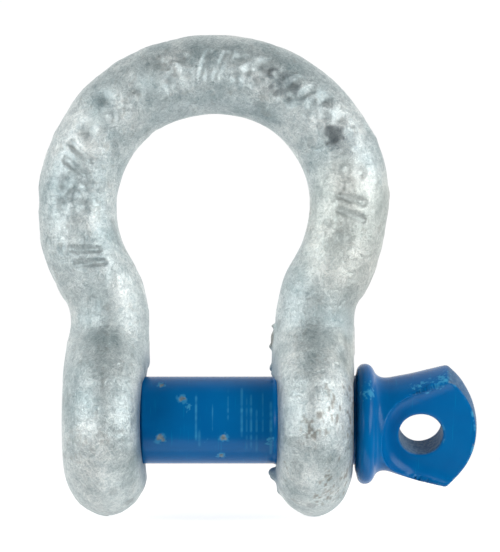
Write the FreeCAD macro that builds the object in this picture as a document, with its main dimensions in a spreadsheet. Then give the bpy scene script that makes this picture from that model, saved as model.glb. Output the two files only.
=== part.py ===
"""Screw-pin bow shackle: a forged bow with one plain and one tapped ear, and its screw pin.

Frame: millimetres, +Z from the pin to the crown, +X along the pin from the tapped ear to the eye.
Origin: on the pin's axis, in the plane that halves the bow.
A right-hand turn of the pin about +X unscrews it, and carries it towards +X.
"""

import FreeCAD, Part
import Sketcher
import math
import os
import re

# name, value (mm or degrees), what it is
SIZES = [
    ("stock_radius", 7.2, "half the bow's round stock"),
    ("bow_radius", 24.7, "bow's centreline radius"),
    ("bow_height", 38.9, "bow's centre above the pin's axis"),
    ("waist_radius", 14.5, "centreline radius where the legs turn upright"),
    ("leg_offset", 18.9, "upright legs from the middle"),
    ("blend_top", 18.3, "height at which a leg starts to widen into its ear"),
    ("blend_start", 6.95, "half depth of the widened leg at the top, just inside the stock"),
    ("blend_width", 6.85, "half width of the widened leg along the pin"),
    ("blend_bottom", 5.0, "height at which it is lost in the ear"),
    ("blend_depth", 13.0, "half depth of the widened leg at the bottom"),
    ("tapped_inner", 11.5, "tapped ear's inner face from the middle"),
    ("tapped_outer", 27.3, "tapped ear's outer face from the middle"),
    ("plain_inner", 11.0, "plain ear's inner face from the middle"),
    ("plain_outer", 25.9, "plain ear's outer face from the middle"),
    ("ear_radius", 17.5, "outer radius of both ears"),
    ("ear_flat_radius", 7.7, "radius at which an ear's rim starts to round off"),
    ("tapped_draft", 8.0, "degrees of forging draft on the tapped ear's inner face"),
    ("plain_draft", 5.0, "degrees of forging draft on the plain ear's inner face"),
    ("draft_bite", 0.03, "how deep in an ear's inner face its two leaning faces meet"),
    ("hole_radius", 8.75, "plain ear's hole"),
    ("hole_chamfer", 0.8, "break at the holes' edges"),
    ("past", 1.0, "how far a cutting outline runs past the metal"),
    ("recess_radius", 8.85, "tapped ear's recess that swallows the thread's run-out"),
    ("recess_end", 14.0, "recess floor from the middle"),
    ("pitch", 2.0, "thread pitch"),
    ("thread_radius", 7.7, "screw thread over its crests"),
    ("thread_depth", 1.0, "screw thread from crest to root"),
    ("thread_root", 0.5, "flat at a root"),
    ("thread_flank", 30.0, "degrees from a flank to a plane across the axis"),
    ("thread_gap", 0.25, "radial play between screw and nut threads"),
    ("thread_past", 0.2, "how far a thread's cutting outline runs past its crests"),
    ("thread_end", 26.9, "screw's end from the middle"),
    ("thread_start", 12.9, "where thread and plain shank meet"),
    ("tip_chamfer", 1.1, "break at the screw's end"),
    ("pin_radius", 8.0, "plain shank between the ears"),
    ("shank_break", 0.4, "break where the shank meets the thread"),
    ("swell_radius", 8.2, "shank inside the plain ear, thicker next to the forged head"),
    ("swell_start", 11.0, "where the shank starts to swell"),
    ("swell_run", 0.8, "length over which it swells"),
    ("collar_face", 26.6, "collar's face towards the plain ear"),
    ("collar_thickness", 2.8, "collar along the pin"),
    ("collar_radius", 11.05, "collar's rim"),
    ("collar_round", 1.3, "round on the collar's rim"),
    ("neck_radius", 7.9, "where the head's flare would meet the collar"),
    ("neck_round", 2.6, "hollow between collar and flare"),
    ("head_corner_x", 43.0, "widest place of the head"),
    ("head_corner_radius", 11.35, "head's radius there"),
    ("head_end", 48.6, "end of the head"),
    ("head_half", 3.1, "half the flattened head's thickness"),
    ("flat_radius", 9.0, "flats' edge towards the neck"),
    ("flat_ahead", 1.3, "how far that edge's centre lies past the eye"),
    ("flat_wrap", 60.0, "degrees that edge wraps to each side of the head's axis"),
    ("flat_round", 1.5, "hollow at that edge"),
    ("eye_x", 38.2, "eye's centre along the pin"),
    ("eye_low", 0.4, "eye's centre below the head's own axis"),
    ("eye_radius", 4.0, "eye"),
    ("head_turn", 23.0, "degrees the head is turned about the pin at rest"),
    ("head_drop", 1.0, "how far the forged head sits off the pin's axis, downwards at rest"),
]
# how a leg widens into its ear, at each section: share of the way down, share of the growth
BLEND_STEPS = [(0.0, 0.0), (0.15, 0.18), (0.29, 0.46), (0.55, 0.85), (1.0, 1.0)]

doc = FreeCAD.newDocument("bow_shackle")
sheet = doc.addObject("Spreadsheet::Sheet", "sizes")
for row, (alias, number, meaning) in enumerate(SIZES, start=1):
    sheet.set(f"A{row}", meaning)
    sheet.set(f"B{row}", str(number))
    sheet.setAlias(f"B{row}", alias)
doc.recompute()


def size(formula):
    """The number a formula in the sheet's names stands for."""
    return float(sheet.evalExpression(formula))


def linked(formula):
    """The same formula as another object writes it, with the sheet's name before each of its names."""
    names = {alias for alias, _, _ in SIZES}
    return re.sub("[a-z_]+", lambda word: f"sizes.{word[0]}" if word[0] in names else word[0], formula)


def new_body(name):
    body = doc.addObject("PartDesign::Body", name)
    body.Label = name
    return body


def datum(body, role):
    """One of a body's own origin planes or axes."""
    return next(f for f in body.Origin.OriginFeatures if f.Role == role)


def new_sketch(body, name, plane, offset=None):
    """A sketch on an origin plane, moved along its normal by a formula. On XZ_Plane it is seen as X, Z."""
    sketch = body.newObject("Sketcher::SketchObject", name)
    sketch.AttachmentSupport = (datum(body, plane), [""])
    sketch.MapMode = "FlatFace"
    if offset:
        sketch.setExpression("AttachmentOffset.Base.z", linked(offset))
    return sketch


def fix(sketch, kind, where, formula):
    """A dimension bound to a formula in the sheet's names."""
    index = sketch.addConstraint(Sketcher.Constraint(kind, *where, size(formula)))
    sketch.setExpression(f"Constraints[{index}]", linked(formula))


def fix_point(sketch, geometry, end, across, up):
    """A point held at two formulas from the sketch's origin."""
    for kind, formula, axis in (("DistanceX", across, -2), ("DistanceY", up, -1)):
        if formula == "0":
            sketch.addConstraint(Sketcher.Constraint("PointOnObject", geometry, end, axis))
        else:
            fix(sketch, kind, (-1, 1, geometry, end), formula)


def add_polygon(sketch, corners):
    """A closed outline through corners given as pairs of formulas."""
    points = [FreeCAD.Vector(size(x), size(y), 0) for x, y in corners]
    first = sketch.GeometryCount
    last = first + len(points) - 1
    for start, end in zip(points, points[1:] + points[:1]):
        sketch.addGeometry(Part.LineSegment(start, end), False)
    for n, (x, y) in enumerate(corners, start=first):
        before = last if n == first else n - 1
        sketch.addConstraint(Sketcher.Constraint("Coincident", before, 2, n, 1))
        fix_point(sketch, n, 1, x, y)


def add_circle(sketch, x, y, radius):
    centre = FreeCAD.Vector(size(x), size(y), 0)
    up = FreeCAD.Vector(0, 0, 1)
    n = sketch.addGeometry(Part.Circle(centre, up, size(radius)), False)
    fix(sketch, "Radius", (n,), radius)
    fix_point(sketch, n, 3, x, y)


def add_arc(sketch, x, y, radius, start, end):
    """An arc of a given radius, from one angle to another in degrees. Its centre and ends stay free."""
    circle = Part.Circle(FreeCAD.Vector(size(x), size(y), 0), FreeCAD.Vector(0, 0, 1), size(radius))
    n = sketch.addGeometry(Part.ArcOfCircle(circle, math.radians(start), math.radians(end)), False)
    fix(sketch, "Radius", (n,), radius)
    return n


def hold_ellipse(sketch, n, x, y, across, tall):
    """Holds an upright ellipse's centre and its half width and height, through its two axes."""
    sketch.exposeInternalGeometry(n)
    sketch.addConstraint(Sketcher.Constraint("Vertical", n + 1))
    fix(sketch, "Distance", (n + 1,), f"2 * ({tall})")
    fix(sketch, "Distance", (n + 2,), f"2 * ({across})")
    fix_point(sketch, n, 3, x, y)


def pocket(body, sketch, length, side):
    """Cuts a sketch's outline "along" its normal or "against" it, or to "both" sides."""
    before = body.Tip.Shape.Volume
    cut = body.newObject("PartDesign::Pocket", f"{sketch.Name}_cut")
    cut.Profile = sketch
    cut.SideType = "Symmetric" if side == "both" else "One side"
    cut.setExpression("Length", linked(length))
    cut.Reversed = side == "along"
    doc.recompute()
    if cut.Shape.Volume > before - 0.1:
        raise RuntimeError(f"{cut.Name} removes nothing")


def revolve(body, sketch, kind="Revolution"):
    """Turns a sketch once about the pin's axis, to add it or, as a Groove, to remove it."""
    turned = body.newObject(f"PartDesign::{kind}", f"{sketch.Name}_turned")
    turned.Profile = sketch
    turned.ReferenceAxis = (datum(body, "X_Axis"), [""])
    turned.Angle = 360
    doc.recompute()


def cut_thread(body, name, start, length, inside, outside, narrow):
    """A helical groove about the pin's axis. narrow is where it is thread_root wide: its root."""
    sketch = new_sketch(body, f"{name}_groove", "XZ_Plane")
    spread = f"(({outside}) - ({inside})) * tan(thread_flank)"
    at_root, at_mouth = "thread_root / 2", f"thread_root / 2 + {spread}"
    low, high = (at_root, at_mouth) if narrow == "inside" else (at_mouth, at_root)
    corners = [
        (f"({start}) - ({low})", inside),
        (f"({start}) + ({low})", inside),
        (f"({start}) + ({high})", outside),
        (f"({start}) - ({high})", outside),
    ]
    add_polygon(sketch, corners)
    helix = body.newObject("PartDesign::SubtractiveHelix", f"{name}_helix")
    helix.Profile = sketch
    helix.ReferenceAxis = (datum(body, "X_Axis"), [""])
    helix.Mode = "pitch-height-angle"
    helix.setExpression("Pitch", "sizes.pitch")
    helix.setExpression("Height", linked(length))
    helix.LeftHanded = False
    doc.recompute()


def round_edges(body, name, radius, wanted):
    """Rounds the edges of the body's shape that a test picks out."""
    base = body.Tip
    names = [f"Edge{n}" for n, edge in enumerate(base.Shape.Edges, start=1) if wanted(edge)]
    if not names:
        raise RuntimeError(f"{name}: no such edge")
    rounded = body.newObject("PartDesign::Fillet", name)
    rounded.Base = (base, names)
    rounded.setExpression("Radius", f"sizes.{radius}")
    doc.recompute()


def is_ring(edge, x, radius):
    """Is this edge a circle about the pin's axis, at this place and of this radius?"""
    if edge.Degenerated or not isinstance(edge.Curve, Part.Circle):
        return False
    return abs(edge.Curve.Center.x - x) < 0.01 and abs(edge.Curve.Radius - radius) < 0.01


# --- the bow: bent stock, two ears, the legs' blends into them, and the ears' holes ---


def bend_stock(bow):
    path = new_sketch(bow, "centreline", "XZ_Plane")
    reach = "(leg_offset + waist_radius)"
    span = "(bow_radius + waist_radius)"
    waist = f"(bow_height - sqrt({span} ^ 2 - {reach} ^ 2))"
    tilt = math.degrees(math.acos(size(f"{reach} / {span}")))
    x, top = size("leg_offset"), size(waist)
    left = path.addGeometry(
        Part.LineSegment(FreeCAD.Vector(-x, 0, 0), FreeCAD.Vector(-x, top, 0)), False
    )
    left_waist = add_arc(path, f"-{reach}", waist, "waist_radius", 0, tilt)
    crown = add_arc(path, "0", "bow_height", "bow_radius", -tilt, 180 + tilt)
    right_waist = add_arc(path, reach, waist, "waist_radius", 180 - tilt, 180)
    right = path.addGeometry(
        Part.LineSegment(FreeCAD.Vector(x, top, 0), FreeCAD.Vector(x, 0, 0)), False
    )
    smooth = [
        (left, 2, left_waist, 1),
        (left_waist, 2, crown, 2),
        (crown, 1, right_waist, 1),
        (right_waist, 2, right, 1),
    ]
    for joint in smooth:
        path.addConstraint(Sketcher.Constraint("Tangent", *joint))
    fix_point(path, crown, 3, "0", "bow_height")
    fix_point(path, left, 1, "-leg_offset", "0")
    fix_point(path, right, 2, "leg_offset", "0")
    path.addConstraint(Sketcher.Constraint("Vertical", left))
    path.addConstraint(Sketcher.Constraint("Vertical", right))
    stock = new_sketch(bow, "stock", "XY_Plane")
    add_circle(stock, "-leg_offset", "0", "stock_radius")
    bent = bow.newObject("PartDesign::AdditivePipe", "bent_stock")
    bent.Profile = stock
    bent.Spine = (path, [""])
    doc.recompute()


def add_ear(bow, name, inner, outer):
    """A disc about the pin's axis whose rim is half an ellipse."""
    sketch = new_sketch(bow, name, "XZ_Plane")
    middle, half = f"(({inner}) + ({outer})) / 2", f"abs(({outer}) - ({inner})) / 2"
    centre = FreeCAD.Vector(size(middle), size("ear_flat_radius"), 0)
    top = FreeCAD.Vector(centre.x, size("ear_radius"), 0)
    side = centre - FreeCAD.Vector(size(half), 0, 0)
    rim = Part.ArcOfEllipse(Part.Ellipse(top, side, centre), -math.pi / 2, math.pi / 2)
    n = sketch.addGeometry(rim, False)
    hold_ellipse(sketch, n, middle, "ear_flat_radius", half, "ear_radius - ear_flat_radius")
    ends = [rim.StartPoint, rim.EndPoint]
    feet = [FreeCAD.Vector(end.x, 0, 0) for end in ends]
    down = sketch.addGeometry(Part.LineSegment(ends[1], feet[1]), False)
    base = sketch.addGeometry(Part.LineSegment(feet[1], feet[0]), False)
    up = sketch.addGeometry(Part.LineSegment(feet[0], ends[0]), False)
    chain = [(n, 2, down, 1), (down, 2, base, 1), (base, 2, up, 1), (up, 2, n, 1)]
    for link in chain:
        sketch.addConstraint(Sketcher.Constraint("Coincident", *link))
    for line in (down, up):
        sketch.addConstraint(Sketcher.Constraint("Vertical", line))
    for end in (1, 2):
        fix(sketch, "DistanceY", (-1, 1, n, end), "ear_flat_radius")
        sketch.addConstraint(Sketcher.Constraint("PointOnObject", base, end, -1))
    revolve(bow, sketch)


def add_blend(bow, name, leg, ear):
    """A leg widening into its ear: ellipses that grow from the round stock."""
    sections = []
    for step, (down, grown) in enumerate(BLEND_STEPS):
        height = f"blend_top + (blend_bottom - blend_top) * {down}"
        sketch = new_sketch(bow, f"{name}_{step}", "XY_Plane", height)
        x = f"({leg}) + (({ear}) - ({leg})) * {down}"
        wide = f"blend_start + (blend_depth - blend_start) * {grown}"
        centre = FreeCAD.Vector(size(x), 0, 0)
        far = centre + FreeCAD.Vector(0, size(wide), 0)
        near = centre + FreeCAD.Vector(size("blend_width"), 0, 0)
        n = sketch.addGeometry(Part.Ellipse(far, near, centre), False)
        hold_ellipse(sketch, n, x, "0", "blend_width", wide)
        sections.append(sketch)
    blend = bow.newObject("PartDesign::AdditiveLoft", name)
    blend.Profile = sections[0]
    blend.Sections = sections[1:]
    doc.recompute()


def add_draft(bow, name, inner, side):
    """Leans an ear's inner face back by the size of that name, to the front and to the rear."""
    sketch = new_sketch(bow, f"{name}_lean", "XY_Plane")
    reach = "(ear_radius + past)"
    lean = f"({inner}) + ({side}) * {reach} * tan({name})"
    jaw = f"({inner}) - ({side}) * past"
    apex = f"({inner}) + ({side}) * draft_bite"
    corners = [(apex, "0"), (lean, reach), (jaw, reach), (jaw, f"-{reach}"), (lean, f"-{reach}")]
    add_polygon(sketch, corners)
    pocket(bow, sketch, "2 * ear_radius", "both")


def bore_plain_ear(bow):
    sketch = new_sketch(bow, "plain_hole", "XZ_Plane")
    wide = "hole_radius + hole_chamfer + past"
    corners = [
        ("plain_inner - past", "0"),
        ("plain_outer + past", "0"),
        ("plain_outer + past", wide),
        ("plain_outer - hole_chamfer", "hole_radius"),
        ("plain_inner + hole_chamfer", "hole_radius"),
        ("plain_inner - past", wide),
    ]
    add_polygon(sketch, corners)
    revolve(bow, sketch, "Groove")


def tap_tapped_ear(bow):
    sketch = new_sketch(bow, "tapped_hole", "XZ_Plane")
    nut = "(thread_radius - thread_depth + thread_gap)"
    corners = [
        ("-tapped_inner + past", "0"),
        ("-tapped_inner + past", "recess_radius + hole_chamfer + past"),
        ("-tapped_inner - hole_chamfer", "recess_radius"),
        ("-recess_end", "recess_radius"),
        (f"-recess_end - (recess_radius - {nut})", nut),
        ("-tapped_outer + hole_chamfer", nut),
        ("-tapped_outer - past", f"{nut} + hole_chamfer + past"),
        ("-tapped_outer - past", "0"),
    ]
    add_polygon(sketch, corners)
    revolve(bow, sketch, "Groove")
    start = "-thread_end - 2 * pitch"
    length = "thread_end - recess_end + 2.25 * pitch"
    inside = f"{nut} - thread_past"
    cut_thread(bow, "nut", start, length, inside, "thread_radius + thread_gap", "outside")


def make_bow():
    bow = new_body("bow")
    bend_stock(bow)
    add_ear(bow, "tapped_ear", "-tapped_inner", "-tapped_outer")
    add_ear(bow, "plain_ear", "plain_inner", "plain_outer")
    add_blend(bow, "tapped_blend", "-leg_offset", "-(tapped_inner + tapped_outer) / 2")
    add_blend(bow, "plain_blend", "leg_offset", "(plain_inner + plain_outer) / 2")
    add_draft(bow, "tapped_draft", "-tapped_inner", "-1")
    add_draft(bow, "plain_draft", "plain_inner", "1")
    bore_plain_ear(bow)
    tap_tapped_ear(bow)
    return bow


# --- the screw pin: thread, plain shank and head, each a solid that meets the next on a plane ---


def make_pin_thread():
    body = new_body("pin_thread")
    sketch = new_sketch(body, "thread_blank", "XZ_Plane")
    corners = [
        ("-thread_end", "0"),
        ("-thread_end", "thread_radius - tip_chamfer"),
        ("-thread_end + tip_chamfer", "thread_radius"),
        ("-thread_start", "thread_radius"),
        ("-thread_start", "0"),
    ]
    add_polygon(sketch, corners)
    revolve(body, sketch)
    # half a pitch from the nut's groove, so that ridges lie in grooves
    start = "-thread_end - 1.5 * pitch"
    length = "thread_end - thread_start + pitch"
    root = "thread_radius - thread_depth"
    cut_thread(body, "screw", start, length, root, "thread_radius + thread_past", "inside")
    return body


def make_pin_shank():
    body = new_body("pin_shank")
    sketch = new_sketch(body, "shank", "XZ_Plane")
    corners = [
        ("-thread_start", "0"),
        ("-thread_start", "pin_radius - shank_break"),
        ("-thread_start + shank_break", "pin_radius"),
        ("swell_start", "pin_radius"),
        ("swell_start + swell_run", "swell_radius"),
        ("collar_face", "swell_radius"),
        ("collar_face", "0"),
    ]
    add_polygon(sketch, corners)
    revolve(body, sketch)
    return body


def forge_head(body):
    """Collar, hollow neck and flared head as one turned blank."""
    sketch = new_sketch(body, "head_blank", "XZ_Plane")
    back = "(collar_face + collar_thickness)"
    corners = [
        ("collar_face", "0"),
        ("collar_face", "collar_radius"),
        (back, "collar_radius"),
        (back, "neck_radius"),
        ("head_corner_x", "head_corner_radius"),
        ("head_end", "0"),
    ]
    points = [FreeCAD.Vector(size(x), size(y), 0) for x, y in corners]
    for start, end in zip(points[:4], points[1:5]):
        sketch.addGeometry(Part.LineSegment(start, end), False)
    depth, half = size("head_end - head_corner_x"), size("head_corner_radius")
    ball = (depth**2 + half**2) / (2 * depth)
    centre = FreeCAD.Vector(size("head_end") - ball, 0, 0)
    circle = Part.Circle(centre, FreeCAD.Vector(0, 0, 1), ball)
    turn = math.atan2(half, size("head_corner_x") - centre.x)
    sketch.addGeometry(Part.ArcOfCircle(circle, 0, turn), False)
    sketch.addGeometry(Part.LineSegment(points[5], points[0]), False)
    chain = [(0, 2, 1, 1), (1, 2, 2, 1), (2, 2, 3, 1), (3, 2, 4, 2), (4, 1, 5, 1), (5, 2, 0, 1)]
    for link in chain:
        sketch.addConstraint(Sketcher.Constraint("Coincident", *link))
    for n in range(4):
        fix_point(sketch, n, 1, *corners[n])
    fix_point(sketch, 3, 2, *corners[4])
    fix_point(sketch, 5, 1, *corners[5])
    sketch.addConstraint(Sketcher.Constraint("PointOnObject", 4, 3, -1))
    revolve(body, sketch)
    rim, foot = size("collar_radius"), size("neck_radius")
    faces = (size("collar_face"), size(back))
    round_edges(body, "collar_rim", "collar_round", lambda e: any(is_ring(e, x, rim) for x in faces))
    round_edges(body, "neck_hollow", "neck_round", lambda e: is_ring(e, faces[1], foot))


def flatten_head(body):
    """Two flats, each bounded towards the neck by an arc and by a line on from each of its ends."""
    middle = "(eye_x + flat_ahead)"
    bend, swing = f"({middle} - flat_radius * cos(flat_wrap))", "(flat_radius * sin(flat_wrap))"
    far, reach = "(head_end + past)", "(head_corner_radius + past)"
    corners = [
        (bend, swing),
        ("head_corner_x", "head_corner_radius"),
        (far, reach),
        (far, f"-{reach}"),
        ("head_corner_x", "-head_corner_radius"),
        (bend, f"-{swing}"),
    ]
    points = [FreeCAD.Vector(size(x), size(y), 0) for x, y in corners]
    for name, side in (("front_flat", 1), ("back_flat", -1)):
        sketch = new_sketch(body, name, "XZ_Plane", f"head_half * {side}")
        wrap = size("flat_wrap")
        arc = add_arc(sketch, middle, "0", "flat_radius", 180 - wrap, 180 + wrap)
        fix_point(sketch, arc, 3, middle, "0")
        for end in (1, 2):
            fix(sketch, "DistanceX", (-1, 1, arc, end), bend)
        for start, end in zip(points, points[1:]):
            sketch.addGeometry(Part.LineSegment(start, end), False)
        chain = [(arc, 1, 1, 1), (1, 2, 2, 1), (2, 2, 3, 1), (3, 2, 4, 1), (4, 2, 5, 1), (5, 2, arc, 2)]
        for link in chain:
            sketch.addConstraint(Sketcher.Constraint("Coincident", *link))
        for n in range(1, 5):
            fix_point(sketch, n, 2, *corners[n])
        pocket(body, sketch, "2 * head_corner_radius", "along" if side > 0 else "against")
    half, radius, centre = size("head_half"), size("flat_radius"), size(middle)

    def bounds_flat(edge):
        if edge.Degenerated or not isinstance(edge.Curve, Part.Circle):
            return False
        if abs(edge.Curve.Radius - radius) > 0.01:
            return False
        spot = edge.Curve.Center
        return abs(abs(spot.y) - half) < 0.01 and abs(spot.x - centre) < 0.01

    round_edges(body, "flat_hollow", "flat_round", bounds_flat)


def make_pin_head():
    body = new_body("pin_head")
    forge_head(body)
    flatten_head(body)
    eye = new_sketch(body, "eye", "XZ_Plane")
    add_circle(eye, "eye_x", "-eye_low", "eye_radius")
    pocket(body, eye, "2 * head_corner_radius", "both")
    body.Placement = FreeCAD.Placement(
        FreeCAD.Vector(0, 0, 0), FreeCAD.Rotation(FreeCAD.Vector(1, 0, 0), 1)
    )
    body.setExpression("Placement.Rotation.Angle", "sizes.head_turn")
    body.setExpression("Placement.Base.z", "-sizes.head_drop")
    doc.recompute()
    return body


def check(pieces):
    """Stops at any failed object, and at any piece whose shape is missing, broken or in bits."""
    for thing in doc.Objects:
        if "Invalid" in thing.State or "Error" in thing.State:
            raise RuntimeError(f"{thing.Name} is {thing.State}")
    for piece in pieces:
        shape = piece.Shape
        if shape.isNull() or not shape.isValid() or len(shape.Solids) != 1:
            raise RuntimeError(f"{piece.Label} has no single valid solid")


pieces = [make_bow(), make_pin_thread(), make_pin_shank(), make_pin_head()]
doc.recompute()
check(pieces)
os.makedirs("parts", exist_ok=True)
for piece in pieces:
    piece.Shape.exportStep(f"parts/{piece.Label}.step")
    print(f"{piece.Label}: {piece.Shape.Volume:.0f} mm3")
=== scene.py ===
"""Looks for a screw-pin bow shackle: a hot-dip galvanised forged bow and a blue painted screw pin.

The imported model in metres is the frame. Shapes are worked out in millimetres: each visible piece is the
mesh of its CAD solids, remeshed finely, drawn onto a smooth implicit surface of nearly the same sizes, and
then roughened as forged metal.
"""

import math

import bmesh
import bpy
import numpy as np
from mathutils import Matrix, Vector


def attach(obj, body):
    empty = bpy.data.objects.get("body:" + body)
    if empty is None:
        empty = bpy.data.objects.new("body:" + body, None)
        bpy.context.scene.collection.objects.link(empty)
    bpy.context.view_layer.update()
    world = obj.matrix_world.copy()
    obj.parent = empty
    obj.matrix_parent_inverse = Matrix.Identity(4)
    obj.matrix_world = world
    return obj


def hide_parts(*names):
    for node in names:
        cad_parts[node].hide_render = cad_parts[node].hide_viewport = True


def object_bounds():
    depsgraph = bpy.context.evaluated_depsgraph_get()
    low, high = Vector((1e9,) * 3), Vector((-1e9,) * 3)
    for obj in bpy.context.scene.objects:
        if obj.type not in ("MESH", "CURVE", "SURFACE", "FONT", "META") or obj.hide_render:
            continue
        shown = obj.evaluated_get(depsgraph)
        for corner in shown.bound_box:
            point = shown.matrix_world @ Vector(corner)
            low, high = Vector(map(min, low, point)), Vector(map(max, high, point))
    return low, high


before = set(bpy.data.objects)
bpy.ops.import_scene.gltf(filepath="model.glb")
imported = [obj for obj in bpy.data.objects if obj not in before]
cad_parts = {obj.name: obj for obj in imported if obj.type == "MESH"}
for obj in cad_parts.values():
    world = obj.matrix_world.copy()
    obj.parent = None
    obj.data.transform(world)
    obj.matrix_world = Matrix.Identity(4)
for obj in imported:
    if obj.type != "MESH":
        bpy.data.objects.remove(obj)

CAD_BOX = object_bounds()
MM = 0.001

# --- sizes, in millimetres, as in the CAD model unless a comment says otherwise ---

# farther off than any surface
FAR = 10.0

STOCK_R = 7.2
BOW_R = 24.7
BOW_Z = 38.9
# the visual's own: how far the crown's shoulders stand outside a true circle, and between which angles from
# the top they come and go, in radians
SHOULDER = 0.4
SHOULDER_ON = (0.1, 0.8)
SHOULDER_OFF = (1.2, 2.1)
# the visual's own: how far the crown was bent towards the plain ear's side, and between which heights
ASIDE = 0.35
ASIDE_Z = (30.0, 50.0)
WAIST_R = 14.5
LEG_X = 18.9
TAPPED = (-27.3, -11.5)
PLAIN = (11.0, 25.9)
EAR_R = 17.5
EAR_FLAT_R = 7.7
TAPPED_DRAFT = math.radians(8.0)
PLAIN_DRAFT = math.radians(5.0)
# rounds the ridge down the middle of an ear's drafted face, in square millimetres
DRAFT_RIDGE = 0.8
# the visual's own: where a leg starts to widen into its ear and where it has reached the rim, with half its
# depth and half its width at each, and the heights between which its middle moves over to the ear's
BLEND_Z = (20.0, 8.0)
BLEND_DEEP = (7.0, 15.3)
BLEND_WIDE = (6.85, 7.5)
BLEND_MIDDLE_Z = (13.5, 18.5)
HOLE_R = 8.75
RECESS_R = 8.85
RECESS_X = -14.0
PITCH = 2.0
THREAD_R = 7.7
THREAD_DEPTH = 1.0
THREAD_GAP = 0.25
ROOT_HALF = 0.25
FLANK_RUN = THREAD_DEPTH * math.tan(math.radians(30.0))
SCREW_TIP = -26.9
TIP_CHAMFER = 1.1
THREAD_END = -12.9
PIN_R = 8.0
SWELL_R = 8.2
SWELL_X = 11.0
SWELL_RUN = 0.8
COLLAR = (26.6, 29.4)
COLLAR_R = 11.05
COLLAR_ROUND = 1.3
NECK_R = 7.9
CORNER_X, CORNER_R = 43.0, 11.35
HEAD_END = 48.6
HEAD_HALF = 3.1
FLAT_R = 9.0
FLAT_AHEAD = 1.3
# the visual's own
FLAT_WRAP = math.radians(66.4)
EYE_X = 38.2
EYE_R = 4.0
# the visual's own: how far the eye is below the head's middle
EYE_LOW = 0.3
# the visual's own: how far the head sits below the pin's axis, at the collar and at the eye
HEAD_DROP = (0.7, 1.1)
HEAD_TURN = math.radians(23.0)

# the visual's own: fillets and rounded edges, each the k of its smooth_min or smooth_max
LEG_FILLET = 0.7
EAR_ROUND = 1.2
HOLE_ROUND = 1.6
NUT_ROUND = 0.8
RECESS_ROUND = 2.2
RECESS_FLOOR_ROUND = 0.3
SEAT_ROUND = 0.1
TIP_FACE_ROUND = 0.2
TIP_ROUND = 0.3
BAR_END_ROUND = 0.5
HEAD_RIM_ROUND = 0.4
HEAD_START_ROUND = 0.5
FLAT_CORNER_ROUND = 1.0
FLAT_FILLET = 3.2
FLAT_RIM_ROUND = 0.4
NECK_FILLET = 3.4
SHANK_FILLET = 0.05
EYE_ROUND = 0.6

# the visual's own: how far the collar's seat reaches past the collar, and how far outside the ear's face it is
SEAT_MARGIN = 1.0
SEAT_RISE = 0.08
# the visual's own: how far before the thread's end its grooves start to run out, and how far past it they do
RUN_OUT = (0.7, 0.2)
# the visual's own: how far inside the collar the head's cone starts
HEAD_START = 1.0

# across the flattened head
DEEP_WAY = np.array([0.0, math.cos(HEAD_TURN), math.sin(HEAD_TURN)])
REACH = LEG_X + WAIST_R
SPAN = BOW_R + WAIST_R
WAIST_Z = BOW_Z - math.sqrt(SPAN**2 - REACH**2)
TILT = math.acos(REACH / SPAN)


# --- numbers on arrays of points ---


def smooth_step(low, high, value):
    t = np.clip((value - low) / (high - low), 0, 1)
    return t * t * (3 - 2 * t)


def smooth_min(a, b, k):
    """The lesser of two distances, with a fillet of about k where they are equal."""
    blend = np.maximum(k - np.abs(a - b), 0) / k
    return np.minimum(a, b) - blend * blend * k / 4


def smooth_max(a, b, k):
    return -smooth_min(-a, -b, k)


def hashed(i, j, k, seed):
    """A number from 0 to 1 for each lattice point, always the same one."""
    mixed = (i * 374761393 + j * 668265263 + k * 2147483647 + seed * 974634777) & 0xFFFFFFFF
    mixed = ((mixed ^ (mixed >> 13)) * 1274126177) & 0xFFFFFFFF
    return ((mixed ^ (mixed >> 16)) & 0xFFFF) / 65535.0


def noise(points, scale, seed):
    """Smooth noise from -1 to 1 whose lumps are about scale across."""
    p = points / scale
    cell = np.floor(p).astype(np.int64)
    t = p - cell
    t = t * t * t * (t * (t * 6 - 15) + 10)
    total = np.zeros(len(points))
    for dx in (0, 1):
        for dy in (0, 1):
            for dz in (0, 1):
                w = np.abs(1 - dx - t[:, 0]) * np.abs(1 - dy - t[:, 1]) * np.abs(1 - dz - t[:, 2])
                total += w * hashed(cell[:, 0] + dx, cell[:, 1] + dy, cell[:, 2] + dz, seed)
    return total * 2 - 1


# --- the bow as an implicit surface ---


def bow_place(points):
    """Each point's place along the bow's centreline from the crown, and its offset outwards."""
    across = points[:, 0] - ASIDE * smooth_step(*ASIDE_Z, points[:, 2])
    x, z = np.abs(across), points[:, 2]
    side = np.sign(across)
    from_crown = np.hypot(x, z - BOW_Z)
    from_waist = np.hypot(x - REACH, z - WAIST_Z)
    angle = np.arctan2(z - BOW_Z, x)
    below = x * (WAIST_Z - BOW_Z) - (z - BOW_Z) * REACH > 0
    upright = below & (z < WAIST_Z)
    bent = below & ~upright
    from_top = math.pi / 2 - angle
    shoulder = SHOULDER * smooth_step(*SHOULDER_ON, from_top) * (1 - smooth_step(*SHOULDER_OFF, from_top))
    offset = from_crown - BOW_R - shoulder
    offset[bent] = WAIST_R - from_waist[bent]
    offset[upright] = x[upright] - LEG_X
    along = BOW_R * (math.pi / 2 - angle)
    crown_length = BOW_R * (math.pi / 2 + TILT)
    turn = np.arctan2(z - WAIST_Z, REACH - x)
    along[bent] = crown_length + WAIST_R * (TILT - turn[bent])
    along[upright] = crown_length + WAIST_R * TILT + WAIST_Z - z[upright]
    return along * side, offset


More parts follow.
